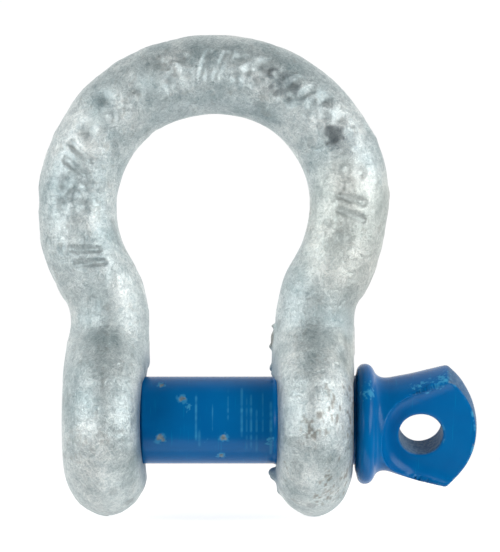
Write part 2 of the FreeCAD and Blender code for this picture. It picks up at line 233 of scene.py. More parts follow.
def ear_field(points, faces, outwards, draft):
    """A rounded disc about the pin's axis, with its inner face drafted; its outer face looks outwards."""
    middle, half = sum(faces) / 2, (faces[1] - faces[0]) / 2
    depth = EAR_R - EAR_FLAT_R
    dx = points[:, 0] - middle
    dr = np.maximum(np.hypot(points[:, 1], points[:, 2]) - EAR_FLAT_R, 0)
    k0 = np.hypot(dx / half, dr / depth)
    k1 = np.hypot(dx / half**2, dr / depth**2) + 1e-9
    disc = k0 * (k0 - 1) / k1
    inner = faces[0] if outwards > 0 else -faces[1]
    lean = inner + np.sqrt(points[:, 1] ** 2 + DRAFT_RIDGE) * math.tan(draft) - outwards * points[:, 0]
    return smooth_max(disc, lean, EAR_ROUND)


def blend_field(points, faces, side):
    """A leg widening into its ear: upright ellipses whose depth grows on the way down."""
    high, low = BLEND_Z
    t = np.clip((high - points[:, 2]) / (high - low), 0, 1)
    # a cubic that leaves the stock flat and meets the rim at the rim's own slope
    steep = low / BLEND_DEEP[1] * (high - low)
    swell = (3 - 2 * t) * t * t
    deep = BLEND_DEEP[0] * (1 - swell) + BLEND_DEEP[1] * swell + steep * (t - 1) * t * t
    spread = 1 - smooth_step(*BLEND_MIDDLE_Z, points[:, 2])
    middle = side * LEG_X + (sum(faces) / 2 - side * LEG_X) * spread
    wide = BLEND_WIDE[0] + (BLEND_WIDE[1] - BLEND_WIDE[0]) * spread
    dx, dy = points[:, 0] - middle, points[:, 1]
    k0 = np.hypot(dx / wide, dy / deep)
    k1 = np.hypot(dx / wide**2, dy / deep**2) + 1e-9
    return np.maximum(k0 * (k0 - 1) / k1, np.maximum(points[:, 2] - high, low - points[:, 2]))


def from_groove(points):
    """Distance along the pin from the middle of the screw's nearest groove.

    The nut's grooves lie half a pitch off.
    """
    turn = np.arctan2(points[:, 1], points[:, 2])
    phase = (points[:, 0] - SCREW_TIP) / PITCH + turn / (2 * math.pi)
    return np.abs(phase - np.floor(phase) - 0.5) * PITCH


def nut_radius(points):
    """The tapped hole's wall: a helical thread in step with the screw's."""
    crest = np.clip((PITCH / 2 - from_groove(points) - ROOT_HALF) / FLANK_RUN, 0, 1)
    return THREAD_R + THREAD_GAP - THREAD_DEPTH * crest


def bow_field(points):
    along, offset = bow_place(points)
    below = np.minimum(points[:, 2], 0)
    tube = np.sqrt(offset**2 + points[:, 1] ** 2 + below**2) - STOCK_R
    legs = smooth_min(tube, blend_field(points, TAPPED, -1), LEG_FILLET)
    legs = smooth_min(legs, blend_field(points, PLAIN, 1), LEG_FILLET)
    body = smooth_min(legs, ear_field(points, TAPPED, -1, TAPPED_DRAFT), EAR_ROUND)
    body = smooth_min(body, ear_field(points, PLAIN, 1, PLAIN_DRAFT), EAR_ROUND)
    round_x = np.hypot(points[:, 1], points[:, 2])
    plain = np.where(points[:, 0] > 0, round_x - HOLE_R, FAR)
    nut = np.where(points[:, 0] < 0, round_x - nut_radius(points), FAR)
    recess = smooth_max(round_x - RECESS_R, RECESS_X - points[:, 0], RECESS_FLOOR_ROUND)
    recess = np.where(points[:, 0] < 0, recess, FAR)
    body = smooth_max(body, -plain, HOLE_ROUND)
    body = smooth_max(body, -nut, NUT_ROUND)
    body = smooth_max(body, -recess, RECESS_ROUND)
    # where the collar seats, the leg above the ear gives way to it
    seat = smooth_max(round_x - COLLAR_R - SEAT_MARGIN, PLAIN[1] + SEAT_RISE - points[:, 0], SEAT_ROUND)
    return smooth_max(body, -seat, SEAT_ROUND)


# --- the screw pin as an implicit surface ---


def screw_radius(points):
    crest = np.clip((from_groove(points) - ROOT_HALF) / FLANK_RUN, 0, 1)
    return THREAD_R - THREAD_DEPTH * (1 - crest)


def pin_field(points):
    x = points[:, 0]
    radius = np.hypot(points[:, 1], points[:, 2])
    plain = PIN_R + (SWELL_R - PIN_R) * smooth_step(SWELL_X, SWELL_X + SWELL_RUN, x)
    run_out = smooth_step(THREAD_END - RUN_OUT[0], THREAD_END + RUN_OUT[1], x)
    wall = screw_radius(points) * (1 - run_out) + plain * run_out
    # at 45 degrees to both the end face and the thread
    tip = (SCREW_TIP - x) * 0.7 + (radius - THREAD_R + TIP_CHAMFER) * 0.7
    bar = smooth_max(smooth_max(radius - wall, SCREW_TIP - x, TIP_FACE_ROUND), tip, TIP_ROUND)
    bar = smooth_max(bar, x - COLLAR[1], BAR_END_ROUND)
    drop = HEAD_DROP[0] + (HEAD_DROP[1] - HEAD_DROP[0]) * smooth_step(COLLAR[1], EYE_X, x)
    z = points[:, 2] + drop
    radius = np.hypot(points[:, 1], z)
    half = (COLLAR[1] - COLLAR[0]) / 2
    dx = np.abs(x - sum(COLLAR) / 2) - half + COLLAR_ROUND
    dr = radius - COLLAR_R + COLLAR_ROUND
    collar = np.hypot(np.maximum(dx, 0), np.maximum(dr, 0)) + np.minimum(np.maximum(dx, dr), 0)
    collar -= COLLAR_ROUND
    slope = (CORNER_R - NECK_R) / (CORNER_X - COLLAR[1])
    flare = (radius - NECK_R - (x - COLLAR[1]) * slope) / math.hypot(1, slope)
    depth = HEAD_END - CORNER_X
    ball_r = (depth**2 + CORNER_R**2) / (2 * depth)
    ball = np.hypot(x - HEAD_END + ball_r, radius) - ball_r
    head = smooth_max(smooth_max(flare, ball, HEAD_RIM_ROUND), COLLAR[0] + HEAD_START - x, HEAD_START_ROUND)
    up = z * math.cos(HEAD_TURN) - points[:, 1] * math.sin(HEAD_TURN)
    deep = points[:, 1] * math.cos(HEAD_TURN) + z * math.sin(HEAD_TURN)
    from_eye = np.hypot(x - EYE_X, up + EYE_LOW)
    flat_x = EYE_X + FLAT_AHEAD
    bend = flat_x - FLAT_R * math.cos(FLAT_WRAP)
    swing = FLAT_R * math.sin(FLAT_WRAP)
    rise = (CORNER_R - swing) / (CORNER_X - bend)
    edge = (np.abs(up) - swing - (x - bend) * rise) / math.hypot(1, rise)
    wedge = np.maximum(edge, bend - x)
    open_side = smooth_min(np.hypot(x - flat_x, up) - FLAT_R, wedge, FLAT_CORNER_ROUND)
    flats = smooth_max(HEAD_HALF - np.abs(deep), open_side, FLAT_FILLET)
    head = smooth_max(head, -flats, FLAT_RIM_ROUND)
    solid = smooth_min(head, collar, NECK_FILLET)
    solid = smooth_min(solid, bar, SHANK_FILLET)
    return smooth_max(solid, EYE_R - from_eye, EYE_ROUND)


# --- from a CAD solid to a fine mesh on its implicit surface ---

# voxel sizes when quick, and otherwise
BOW_VOXEL = (0.42, 0.25)
PIN_VOXEL = (0.3, 0.18)
# points of the CAD mesh nearer than this are one point
WELD = 1e-4
# a point's longest move in one round of settling, and the least slope squared that it is worked out with
LONGEST_MOVE = 0.5
LEAST_SLOPE = 0.04


def slope_of(field, points, step=0.02):
    grad = np.empty_like(points)
    for axis in range(3):
        shift = np.zeros(3)
        shift[axis] = step
        grad[:, axis] = (field(points + shift) - field(points - shift)) / (2 * step)
    return grad


def settle(points, field, rounds=7):
    """Moves points along the field's slope onto its surface. Returns them with their outward normals."""
    for _ in range(rounds):
        grad = slope_of(field, points)
        steep = np.maximum((grad**2).sum(1), LEAST_SLOPE)
        move = field(points)[:, None] * grad / steep[:, None]
        size = np.linalg.norm(move, axis=1, keepdims=True)
        points = points - move * np.minimum(1, LONGEST_MOVE / np.maximum(size, 1e-9))
    grad = slope_of(field, points)
    return points, grad / np.linalg.norm(grad, axis=1, keepdims=True)


def mesh_points(mesh):
    co = np.empty(len(mesh.vertices) * 3, np.float32)
    mesh.vertices.foreach_get("co", co)
    return co.reshape(-1, 3).astype(float)


def set_points(mesh, points):
    mesh.vertices.foreach_set("co", points.astype(np.float32).ravel())
    mesh.update()


def remeshed(name, nodes, voxel, tuck=None):
    """One closed fine mesh, in millimetres, of CAD nodes joined; tuck moves a node's points beforehand."""
    parts = bmesh.new()
    for node in nodes:
        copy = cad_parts[node].data.copy()
        points = mesh_points(copy) / MM
        if tuck and node in tuck:
            points = tuck[node](points)
        set_points(copy, points)
        parts.from_mesh(copy)
        bpy.data.meshes.remove(copy)
    bmesh.ops.remove_doubles(parts, verts=parts.verts, dist=WELD)
    mesh = bpy.data.meshes.new(name)
    parts.to_mesh(mesh)
    parts.free()
    mesh.materials.clear()
    piece = bpy.data.objects.new(name, mesh)
    bpy.context.scene.collection.objects.link(piece)
    fine = piece.modifiers.new("fine", "REMESH")
    fine.mode = "VOXEL"
    fine.voxel_size = voxel
    depsgraph = bpy.context.evaluated_depsgraph_get()
    made = bpy.data.meshes.new_from_object(piece.evaluated_get(depsgraph))
    piece.modifiers.clear()
    piece.data = made
    made.name = name
    bpy.data.meshes.remove(mesh)
    return piece


def finish_piece(piece, points, body, nodes, shades):
    """Puts the mesh in metres, stores its shade values, and hands it to the frame."""
    mesh = piece.data
    set_points(mesh, points * MM)
    for label, values in shades.items():
        layer = mesh.attributes.new(label, "FLOAT", "POINT")
        layer.data.foreach_set("value", values.astype(np.float32))
    mesh.polygons.foreach_set("use_smooth", [True] * len(mesh.polygons))
    mesh.update()
    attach(piece, body)
    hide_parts(*nodes)


# --- forging and stamping on the bow ---


# half a stamped stroke's width
STROKE = 0.62
# a pair of slanting strokes: from one to the other, how long they are, and how far each end leans
SLASH_STEP = 2.8
SLASH_LENGTH = 4.4
SLASH_LEAN = 0.75


def from_stroke(u, v, u0, v0, u1, v1):
    """Distance from a straight stroke."""
    du, dv = u1 - u0, v1 - v0
    t = np.clip(((u - u0) * du + (v - v0) * dv) / (du * du + dv * dv), 0, 1)
    return np.hypot(u - u0 - t * du, v - v0 - t * dv)


def slashes(u, v):
    """Distance from the nearer of two slanting strokes."""
    half = SLASH_LENGTH / 2
    middles = (-SLASH_STEP / 2, SLASH_STEP / 2)
    ends = [(middle - SLASH_LEAN, -half, middle + SLASH_LEAN, half) for middle in middles]
    return np.minimum.reduce([from_stroke(u, v, *end) for end in ends])


def dimples(u, v, radius, places):
    """Soft round dents, as the distance from a stroke that would be as deep."""
    away = np.minimum.reduce([np.hypot(u - a, v - b) for a, b in places])
    return STROKE * (away / radius) ** (2 / 3)


FIVE = [(-1.9, -2.1), (-1.9, 2.1), (1.9, -2.1), (1.9, 2.1), (0, 0)]
THREE = [(-1.6, -1.8), (1.6, -1.8), (0, 1.7)]
ONE = [(0, 0)]

# arc length from the crown, offset outwards, share of the full depth, shape
MARKS = [
    (-48.0, -0.4, 0.5, slashes),
    (-42.2, -0.1, 0.8, lambda u, v: dimples(u, v, 1.5, ONE)),
    (-36.6, 0.5, 0.7, lambda u, v: dimples(u, v, 1.0, FIVE)),
    (-30.4, 1.0, 0.5, slashes),
    (-25.0, 1.6, 0.75, lambda u, v: dimples(u, v, 1.4, ONE)),
    (-19.2, 1.4, 0.7, lambda u, v: dimples(u, v, 1.0, THREE)),
    (-14.0, 1.0, 0.8, lambda u, v: dimples(u, v, 1.5, ONE)),
    (-6.8, 1.2, 0.75, lambda u, v: dimples(u, v, 1.0, FIVE)),
    (-0.3, 1.3, 0.5, slashes),
    (6.2, 1.2, 0.75, lambda u, v: dimples(u, v, 1.0, FIVE)),
    (14.8, 0.5, 0.45, slashes),
    (21.6, 0.9, 0.65, lambda u, v: dimples(u, v, 1.0, FIVE)),
    (33.0, 1.0, 0.6, lambda u, v: dimples(u, v, 1.0, THREE)),
    (38.6, 0.4, 0.45, slashes),
    (44.6, -0.6, 0.75, lambda u, v: dimples(u, v, 1.5, ONE)),
]
# how far along the bow a mark can reach, and how far noise bends its outline
MARK_REACH = 7
MARK_WARP = 0.1
FULL_DEPTH = 0.9
# the metal pushed up round a mark: its height, its distance from the stroke's middle, and its width
LIP = 0.06
LIP_AWAY = 1.2
LIP_WIDE = 0.5


def stamped(points, normals):
    """How far the stamp pushes each point in, and how deep in a mark it lies, from 0 to 1."""
    along, offset = bow_place(points)
    front = smooth_step(0.2, 0.5, -normals[:, 1])
    push = np.zeros(len(points))
    sunk = np.zeros(len(points))
    warp_u = MARK_WARP * noise(points, 1.9, 41)
    warp_v = MARK_WARP * noise(points, 1.9, 42)
    for place, out, depth, shape in MARKS:
        near = (np.abs(along - place) < MARK_REACH) & (front > 0)
        u = along[near] - place + warp_u[near]
        v = offset[near] - out + warp_v[near]
        gap = np.maximum(shape(u, v), 0)
        dent = np.exp(-((gap / STROKE) ** 3))
        lip = np.exp(-(((gap - LIP_AWAY) / LIP_WIDE) ** 2)) * (1 - dent)
        push[near] += LIP * depth * lip - FULL_DEPTH * depth * dent
        sunk[near] = np.maximum(sunk[near], dent)
    fade = 0.8 + 0.3 * noise(points, 5.0, 43)
    return front * push * fade, sunk * front


# how far outside the plain hole the skin starts to roughen, and where it is fully rough
CALM = (3.2, 6.2)


def roughen_bow(points, normals):
    """The skin of a hot forging under zinc: hollows, lumps, pits, dents, a flash line and the marks.

    It stays smooth round the holes, where the pin passes.
    """
    from_pin = np.hypot(points[:, 1], points[:, 2])
    calm = smooth_step(HOLE_R + CALM[0], HOLE_R + CALM[1], from_pin)
    broad = 0.15 * noise(points, 12.0, 1) + 0.08 * noise(points, 5.5, 2)
    lumps = 0.045 * noise(points, 2.3, 3) + 0.024 * noise(points, 1.0, 4) + 0.01 * noise(points, 0.55, 9)
    crease = -0.07 * (1 - np.abs(noise(points, 3.2, 10))) ** 8
    crease *= smooth_step(-0.4, 0.4, noise(points, 7.0, 11))
    pits = -0.14 * smooth_step(0.62, 0.9, noise(points, 1.5, 5))
    pits *= smooth_step(-0.1, 0.6, noise(points, 9.0, 6))
    dents = -0.2 * smooth_step(0.66, 0.95, noise(points, 3.6, 7))
    flash = np.exp(-((points[:, 1] / 0.4) ** 2)) * (0.05 + 0.2 * noise(points, 4.0, 8))
    outside = smooth_step(0.2, 0.6, bow_place(points)[1] / STOCK_R)
    outside = np.maximum(outside, smooth_step(2, 9, -points[:, 2]))
    push, marked = stamped(points, normals)
    small = (lumps + crease + pits + dents) * (1 - 0.75 * marked)
    total = calm * (broad + small + np.maximum(flash, 0) * outside) + push
    return points + normals * total[:, None], marked


# zinc that set as it ran, and slivers of flash: middle, half size along each axis, height; in millimetres
RUNS = [
    ((11.3, -0.6, 17.3), (0.6, 0.35, 0.4), 0.7),
    ((11.2, -0.6, 15.6), (0.6, 0.3, 1.5), 0.45),
    ((11.2, -0.4, 13.5), (0.6, 0.35, 0.5), 0.6),
    ((11.2, -1.5, 9.6), (0.6, 0.6, 0.7), 0.6),
    ((11.0, -4.5, 8.6), (0.6, 0.8, 0.9), 0.5),
    ((11.0, -2.0, -9.6), (1.4, 1.4, 0.9), 1.5),
    ((11.0, 0.8, -10.4), (1.2, 1.0, 0.8), 1.1),
    ((29.4, -0.3, 51.6), (0.7, 0.5, 0.7), 0.35),
    ((32.0, -0.3, 41.6), (0.6, 0.5, 0.9), 0.3),
    ((12.4, 0.0, -13.0), (0.8, 0.7, 0.8), 0.35),
    ((19.0, -0.4, -17.4), (2.6, 0.7, 0.8), 0.2),
    ((-19.8, -0.4, -17.4), (3.0, 0.7, 0.8), 0.15),
]


# how near to its axis the pin lets any of them come
PASSAGE_R = SWELL_R + 0.3


def add_runs(points, normals):
    """Beads, burrs and slivers of zinc standing on the bow."""
    total = np.zeros(len(points))
    for middle, half, high in RUNS:
        total += high * np.exp(-(((points - middle) / half) ** 2).sum(1))
    grown = points + normals * total[:, None]
    # where the pin passes there is none
    away = np.hypot(grown[:, 1], grown[:, 2])
    wiped = (total > 0.01) & (away < PASSAGE_R)
    grown[wiped, 1:] *= (PASSAGE_R / away[wiped])[:, None]
    return grown


def spot(points, middle, radius, ragged, seed):
    """A patch about a point, with a ragged edge: 1 inside and 0 outside."""
    away = np.linalg.norm(points - np.array(middle), axis=1) / radius
    return 1 - smooth_step(0.55, 1.15, away + ragged * noise(points, radius * 0.45, seed))


def bow_stains_and_painted_shade(points):
    """Where the zinc is smudged, dull, dirty or warm in tint, and where painted shade and a painted reflection
    of the blue pin lie beside it, each from 0 to 1.
    """
    front = points[:, 1] < 0
    smudge = 0.9 * spot(points, (21.8, -7, 52.6), 2.2, 0.5, 51)
    smudge += 0.5 * spot(points, (24.0, -6.5, 50.4), 2.0, 0.6, 52)
    crown = 0.55 * spot(points, (13.0, -7, 61.6), 2.6, 0.7, 53)
    smudge += crown + 0.35 * spot(points, (9.6, -7, 62.6), 2.2, 0.7, 54)
    smudge += 0.3 * smooth_step(0.72, 0.9, noise(points, 3.0, 55))
    dull = spot(points, (-20.0, -7.5, 21.0), 9.0, 0.9, 56) + spot(points, (18.8, -7.5, 21.5), 9.0, 0.9, 57)
    shoulder = 0.5 * spot(points, (-17, -6, 62), 8.0, 0.7, 59)
    dull += 0.4 * spot(points, (2.0, -6, 58.6), 4.5, 0.7, 58) + shoulder
    dull = np.clip(dull, 0, 1) * (0.55 + 0.45 * noise(points, 6.0, 60))
    plain_ear = spot(points, (22.0, -12, -3.0), 13.0, 0.4, 61)
    grime = 0.7 * noise(points, 1.6, 62) + 0.8 * noise(points, 0.5, 63) + 0.35 * noise(points, 5.0, 64)
    dirt = (0.3 + 0.7 * plain_ear) * smooth_step(0.6 - 0.2 * plain_ear, 1.1, grime)
    flake = spot(points, (10.9, -0.5, 15.4), 2.4, 0.1, 65) * (points[:, 0] < 11.2)
    dirt = np.maximum(dirt, 0.9 * flake)
    tint = spot(points, (32.0, -3, 34.0), 17.0, 0.3, 66) + spot(points, (26.0, -3, 8.0), 9.0, 0.3, 67)
    # the inner faces beside the pin: painted shade and a painted reflection of its blue
    from_pin = np.hypot(points[:, 1], points[:, 2])
    facing = smooth_step(-15.5, -12.5, points[:, 0]) * (1 - smooth_step(11.4, 13.8, points[:, 0]))
    pin_reflection_shade = facing * (1 - smooth_step(11.0, 14.5, from_pin)) * (0.85 + 0.25 * noise(points, 2.0, 68))
    shades = {"smudge": smudge * front, "dull": dull, "dirt": dirt, "tint": tint, "pin_reflection_shade": pin_reflection_shade}
    return {name: np.clip(value, 0, 1) for name, value in shades.items()}


def make_bow():
    bow = remeshed("bow_forging", ["bow"], BOW_VOXEL[1])
    points, normals = settle(mesh_points(bow.data), bow_field)
    points, marked = roughen_bow(points, normals)
    points = add_runs(points, normals)
    finish_piece(bow, points, "bow", ["bow"], {"marked": marked, **bow_stains_and_painted_shade(points)})
    bow.data.materials.append(zinc())


# --- the pin's wear ---

# scratches round the shank: place along the pin, highest and lowest place on the front, half width, strength
SCRATCHES = [
    (-2.9, 4.8, -3.2, 0.16, 1.0),
    (-2.3, -1.6, -4.4, 0.2, 0.6),
    (0.1, 3.0, -1.5, 0.1, 0.5),
    (2.9, 5.5, 0.5, 0.12, 0.7),
    (5.4, 5.8, -2.5, 0.18, 0.95),
    (6.3, 4.4, -5.0, 0.1, 0.6),
    (7.1, 4.6, -4.6, 0.16, 0.8),
    (8.1, 2.0, -5.6, 0.12, 0.7),
    (9.2, 5.2, -3.0, 0.1, 0.5),
    (10.7, 3.4, -6.2, 0.2, 0.75),
]
SCRATCH_FADE = 0.6
# chips in the paint down to grey metal: place along the pin and up it, radius
CHIPS = [
    (-5.5, 4.2, 0.6),
    (2.1, -2.9, 0.55),
    (1.7, -6.2, 0.5),
    (-9.5, -2.9, 0.65),
    (-8.9, -3.3, 0.35),
    (-9.3, 6.6, 0.5),
]
# places where the paint is rubbed thin and light: middle, radius, strength
RUBS = [
    ((-4.2, -7.4, 2.8), 0.5, 0.8),
    ((-4.6, -7.6, 1.7), 0.4, 0.6),
    ((-1.6, -7.6, -3.0), 0.6, 0.6),
    ((10.6, -7.0, -3.6), 0.8, 0.9),
    ((28.4, -9.0, 7.4), 1.5, 0.9),
    ((28.4, -9.6, 5.4), 1.3, 0.8),
    ((43.0, -5.6, 9.6), 1.4, 0.9),
    ((43.0, -7.0, 8.2), 1.3, 0.9),
    ((41.4, -6.8, 7.5), 1.1, 0.7),
    ((39.6, -6.5, 6.8), 1.3, 0.9),
    ((38.0, -6.3, 6.4), 1.2, 0.8),
    ((36.4, -6.2, 5.8), 1.0, 0.7),
]


def wear_pin(points):
    """Where the paint is scratched or rubbed light, and where it is chipped to metal, each from 0 to 1."""
    x, y, z = points.T
    front = (y < 0) & (x < COLLAR[0])
    light = np.zeros(len(points))
    bare = np.zeros(len(points))
    broken = 0.6 + 0.6 * noise(points * np.array([0.2, 1, 1]), 0.7, 71)
    for place, high, low, half, strength in SCRATCHES:
        line = np.exp(-(((x - place) / half) ** 2)) * smooth_step(low - SCRATCH_FADE, low + SCRATCH_FADE, z)
        line *= 1 - smooth_step(high - SCRATCH_FADE, high + SCRATCH_FADE, z)
        light = np.maximum(light, strength * line * broken * front)
    for place, high, radius in CHIPS:
        middle = (place, -math.sqrt(PIN_R**2 - high**2), high)
        bare = np.maximum(bare, spot(points, middle, radius, 0.5, 72))
        light = np.maximum(light, 0.6 * spot(points, middle, radius * 1.6, 0.6, 73))
    for middle, radius, strength in RUBS:
        patch = spot(points, middle, radius, 0.9, 74)
        broken_up = smooth_step(-0.1, 0.35, noise(points, 0.6, 75) + 0.8 * noise(points, 0.3, 76))
        light = np.maximum(light, strength * patch * broken_up)
    return np.clip(light, 0, 1), np.clip(bare, 0, 1)


def bend_of(field, points, step):
    """How sharply the surface bends outwards, in 1/mm, over a step."""
    total = -6 * field(points)
    for axis in range(3):
        shift = np.zeros(3)
        shift[axis] = step
        total += field(points + shift) + field(points - shift)
    return total / step**2


# how narrow the shank's ends are made, and how far they are pushed in
TUCK_SHARE = 0.7
TUCK_DEPTH = 1.0


def tuck_shank(points):
    """Pushes the shank's ends into the thread and the collar, so that the three solids join as one."""
    low, high = points[:, 0] < THREAD_END + 0.01, points[:, 0] > COLLAR[0] - 0.01
    ends = low | high
    points[ends, 1:] *= TUCK_SHARE
    points[low, 0] -= TUCK_DEPTH
    points[high, 0] += TUCK_DEPTH
    return points


def make_pin():
    nodes = ["pin_head", "pin_shank", "pin_thread"]
    voxel = PIN_VOXEL[1]
    pin = remeshed("screw_pin", nodes, voxel, {"pin_shank": tuck_shank})
    points, normals = settle(mesh_points(pin.data), pin_field)
    x = points[:, 0]
    light, bare = wear_pin(points)
    forged = smooth_step(COLLAR[0] - 0.5, COLLAR[0] + 0.5, x)
    edge = smooth_step(0.9, 2.0, bend_of(pin_field, points, 0.3)) * smooth_step(38.5, 41.5, x)
    worn = smooth_step(-0.2, 0.5, noise(points, 1.3, 81) + 0.6 * noise(points, 4.0, 82))
    worn *= smooth_step(-0.3, 0.2, noise(points, 0.5, 85))
    light = np.maximum(light, 0.85 * edge * worn)
    bare = np.maximum(bare, 0.5 * edge * smooth_step(0.5, 0.8, noise(points, 0.9, 83)))
    radius = np.hypot(points[:, 1], points[:, 2])
    crest = (x < THREAD_END - 1.2) * smooth_step(THREAD_R - 0.35, THREAD_R - 0.1, radius)
    bare = np.maximum(bare, crest * smooth_step(-0.3, 0.3, noise(points, 1.5, 84)))
    skin = forged * (0.05 * noise(points, 5.0, 21) + 0.018 * noise(points, 2.0, 22))
    skin += (1 - forged) * 0.006 * noise(points * np.array([4.0, 1, 1]), 2.0, 23)
    skin -= 0.05 * bare + 0.015 * light
    points = points + normals * skin[:, None]
    up = (points[:, 2] + HEAD_DROP[1]) * math.cos(HEAD_TURN) - points[:, 1] * math.sin(HEAD_TURN)
    eye_wall = np.hypot(x - EYE_X, up + EYE_LOW)
    end = smooth_step(CORNER_X - 0.4, CORNER_X + 0.6, x) * (np.abs(normals @ DEEP_WAY) < 0.6)
    thin = np.maximum(1 - smooth_step(EYE_R, EYE_R + 0.25, eye_wall), 0.8 * end) * forged
    shades = {"light": light, "bare": bare, "thin": thin}
    finish_piece(pin, points, "pin_screw", nodes, shades)
    pin.data.materials.append(paint())


# --- materials ---


def new_material(name):
    material = bpy.data.materials.new(name)
    material.use_nodes = True
    nodes = material.node_tree.nodes
    return material, nodes, material.node_tree.links, nodes["Principled BSDF"]


def add_noise(nodes, links, scale, detail=4.0, rough=0.55, stretch=(1, 1, 1), swirl=0.0):
    """A noise texture in millimetres of the object."""
    place = nodes.new("ShaderNodeTexCoord")
    size = nodes.new("ShaderNodeMapping")
    size.inputs["Scale"].default_value = [s / MM for s in stretch]
    texture = nodes.new("ShaderNodeTexNoise")
    texture.inputs["Scale"].default_value = 1.0 / scale
    texture.inputs["Detail"].default_value = detail
    texture.inputs["Roughness"].default_value = rough
    texture.inputs["Distortion"].default_value = swirl
    links.new(place.outputs["Object"], size.inputs["Vector"])
    links.new(size.outputs["Vector"], texture.inputs["Vector"])
    return texture


def add_ramp(nodes, links, source, stops):
    ramp = nodes.new("ShaderNodeValToRGB")
    for _ in range(len(stops) - 2):
        ramp.color_ramp.elements.new(0.5)
    for element, (place, colour) in zip(ramp.color_ramp.elements, stops):
        element.position = place
        element.color = (*colour, 1) if len(colour) == 3 else colour
    links.new(source, ramp.inputs["Fac"])
    return ramp.outputs["Color"]


def add_mix(nodes, links, fac, a, b, mode="MIX"):
    mix = nodes.new("ShaderNodeMix")
    mix.data_type = "RGBA"
    mix.blend_type = mode
    for socket, value in ((mix.inputs["Factor"], fac), (mix.inputs["A"], a), (mix.inputs["B"], b)):
        if isinstance(value, bpy.types.NodeSocket):
            links.new(value, socket)
        else:
            socket.default_value = value
    return mix.outputs["Result"]


def add_math(nodes, links, operation, a, b):
    node = nodes.new("ShaderNodeMath")
    node.operation = operation
    for socket, value in zip(node.inputs, (a, b)):
        if isinstance(value, bpy.types.NodeSocket):
            links.new(value, socket)
        else:
            socket.default_value = value
    return node.outputs["Value"]


def grey(value):
    return (value, value, value, 1)


def add_value(nodes, name):
    """A shade value stored on the mesh."""
    shade = nodes.new("ShaderNodeAttribute")
    shade.attribute_name = name
    return shade.outputs["Fac"]


def add_bump(nodes, links, shader, layers):
    """Bumps of given strength and height in millimetres, one on another."""
    before = None
    for height, strength, distance in layers:
        bump = nodes.new("ShaderNodeBump")
        bump.inputs["Strength"].default_value = strength
        bump.inputs["Distance"].default_value = distance * MM
        links.new(height, bump.inputs["Height"])
        if before:
            links.new(before, bump.inputs["Normal"])
        before = bump.outputs["Normal"]
    links.new(before, shader.inputs["Normal"])


def zinc():
    """Hot-dip galvanising: satin silver grey, wrinkled where it set, with smudges, dull places and dirt; dirt
    and painted shade in the marks, painted shade and a painted reflection of the blue pin beside it.
    """
    material, nodes, links, shader = new_material("galvanised_zinc")
    cloud = add_noise(nodes, links, 8.0, 5.0, 0.6).outputs["Fac"]
    mottle = add_noise(nodes, links, 2.2, 6.0, 0.7).outputs["Fac"]
    wrinkle = add_noise(nodes, links, 1.3, 5.0, 0.68, (1, 1, 1), 2.6).outputs["Fac"]
    grain = add_noise(nodes, links, 0.32, 3.0, 0.7, (1, 1, 1), 1.2).outputs["Fac"]
    dark, middle, pale = (0.34, 0.42, 0.435), (0.53, 0.6, 0.605), (0.72, 0.765, 0.755)
    colour = add_ramp(nodes, links, cloud, [(0.3, dark), (0.48, middle), (0.68, pale)])
    layers = [
        (mottle, [(0.32, (0.8, 0.82, 0.83)), (0.5, (1.0, 1.0, 1.0)), (0.68, (1.14, 1.13, 1.12))]),
        (wrinkle, [(0.36, (0.74, 0.79, 0.81)), (0.5, (1.0, 1.0, 1.0)), (0.62, (1.16, 1.14, 1.13))]),
        (grain, [(0.34, (0.76, 0.79, 0.8)), (0.5, (1.0, 1.0, 1.0)), (0.66, (1.18, 1.17, 1.16))]),
    ]
    for source, stops in layers:
        colour = add_mix(nodes, links, 1.0, colour, add_ramp(nodes, links, source, stops), "MULTIPLY")
    stains_and_painted_shades = [
        ("tint", 0.22, (0.66, 0.61, 0.47, 1)),
        ("dull", 0.26, (0.31, 0.38, 0.39, 1)),
        # painted shade and a painted reflection of the blue pin, on the bow's inner faces beside it
        ("pin_reflection_shade", 0.75, (0.06, 0.14, 0.22, 1)),
        # darker in the stamped marks: partly dirt in them, partly painted shade in their recesses
        ("marked", 0.25, (0.3, 0.36, 0.37, 1)),
        ("dirt", 0.7, (0.19, 0.175, 0.145, 1)),
        ("smudge", 0.85, (0.05, 0.065, 0.075, 1)),
    ]
    for name, strength, overlay_colour in stains_and_painted_shades:
        share = add_math(nodes, links, "MULTIPLY", add_value(nodes, name), strength)
        colour = add_mix(nodes, links, share, colour, overlay_colour)
    links.new(colour, shader.inputs["Base Color"])
    shader.inputs["Metallic"].default_value = 0.6
    rough = add_math(nodes, links, "MULTIPLY_ADD", add_value(nodes, "dull"), 0.12)
    links.new(add_ramp(nodes, links, mottle, [(0.3, grey(0.36)), (0.7, grey(0.5))]), rough.node.inputs[2])
    links.new(rough, shader.inputs["Roughness"])
    add_bump(nodes, links, shader, [(mottle, 0.25, 0.15), (wrinkle, 0.85, 0.16), (grain, 0.8, 0.06)])
    return material


